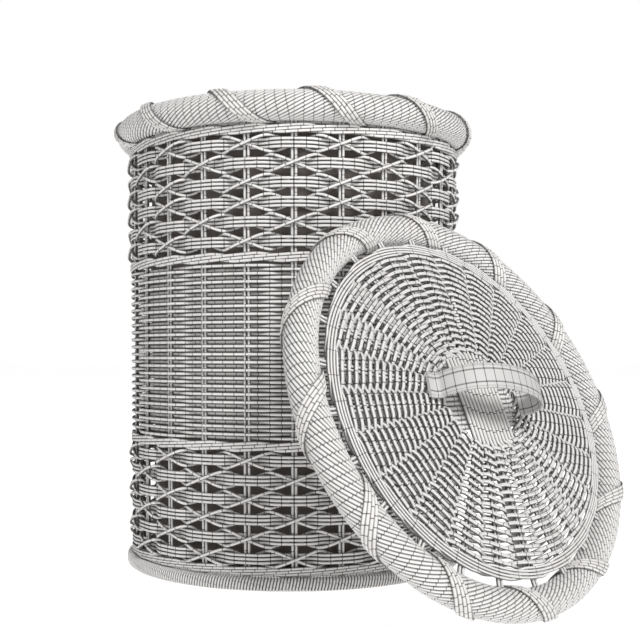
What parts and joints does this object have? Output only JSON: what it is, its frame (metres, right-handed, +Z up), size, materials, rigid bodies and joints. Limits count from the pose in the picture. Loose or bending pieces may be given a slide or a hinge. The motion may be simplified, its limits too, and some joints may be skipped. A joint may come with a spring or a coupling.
{
  "type": "laundry basket with lid",
  "caption": "Round woven rattan laundry basket with a wrapped rim roll, openwork bands, a lift-out fabric liner and a loose woven lid with a strap handle.",
  "frame": {"origin": "middle of the footprint of the basket with its lid leaning beside it, on the floor", "axes": "+Z up; -Y is the front, where the lid leans; +X is to the right of someone facing it"},
  "size_m": [0.617, 0.6944, 0.5764],
  "materials": {
    "foot_wrap": "limewashed wrapped splint, matt",
    "base_stick": "limewashed rattan rod, matt",
    "base_weaver": "limewashed rattan weave, matt",
    "stake_rod": "limewashed rattan rod, satin",
    "slath_rod": "limewashed rattan rod, satin",
    "waling_rod": "limewashed rattan rod, satin",
    "close_weaver": "limewashed rattan strand, satin",
    "open_weaver": "limewashed rattan strand, satin",
    "lid_weaver": "limewashed rattan strand, satin",
    "roll_core": "raw rattan rod, matt",
    "roll_wrap": "limewashed wrapped strand, satin",
    "roll_band": "limewashed raised strand, satin",
    "strap_splint": "smooth painted splint, satin",
    "liner_cloth": "plain woven cotton, matt",
    "liner_hem": "folded woven cotton, matt"
  },
  "bodies": {
    "basket": {"foot_border": "foot_wrap", "base_sticks_lower": "base_stick", "base_sticks_upper": "base_stick", "base_weave": "base_weaver", "stakes": "stake_rod", "waling_bottom_outer": "waling_rod", "waling_bottom_inner": "waling_rod", "waling_lower_outer": "waling_rod", "waling_lower_inner": "waling_rod", "waling_upper_outer": "waling_rod", "waling_upper_inner": "waling_rod", "waling_top_outer": "waling_rod", "waling_top_inner": "waling_rod", "middle_weave_outer": "close_weaver", "middle_weave_inner": "close_weaver", "lower_course_1": "open_weaver", "lower_course_2": "open_weaver", "lower_course_3": "open_weaver", "lower_course_4": "open_weaver", "lower_course_5": "open_weaver", "lower_course_6": "open_weaver", "upper_course_1": "open_weaver", "upper_course_2": "open_weaver", "upper_course_3": "open_weaver", "upper_course_4": "open_weaver", "upper_course_5": "open_weaver", "upper_course_6": "open_weaver", "rim_core": "roll_core", "rim_wrap": "roll_wrap", "rim_spiral_band": "roll_band"},
    "liner": {"liner_bag": "liner_cloth", "liner_hem": "liner_hem"},
    "lid": {"lid_rim_core": "roll_core", "lid_rim_wrap": "roll_wrap", "lid_rim_spiral_band": "roll_band", "lid_spokes": "stake_rod", "lid_weave_face": "lid_weaver", "lid_weave_back": "lid_weaver", "lid_waling_face": "waling_rod", "lid_waling_back": "waling_rod", "lid_slath_upright": "slath_rod", "lid_slath_crosswise": "slath_rod", "lid_handle_strap": "strap_splint"}
  },
  "joints": [
    {"name": "liner_lift", "type": "slide", "parent": "basket", "child": "liner", "axis": [0, 0, 1], "range_m": [0, 0.58]},
    {"name": "lid_lift", "type": "slide", "parent": "basket", "child": "lid", "axis": [0.5724, -0.6919, 0.4399], "range_m": [0, 0.3]}
  ]
}
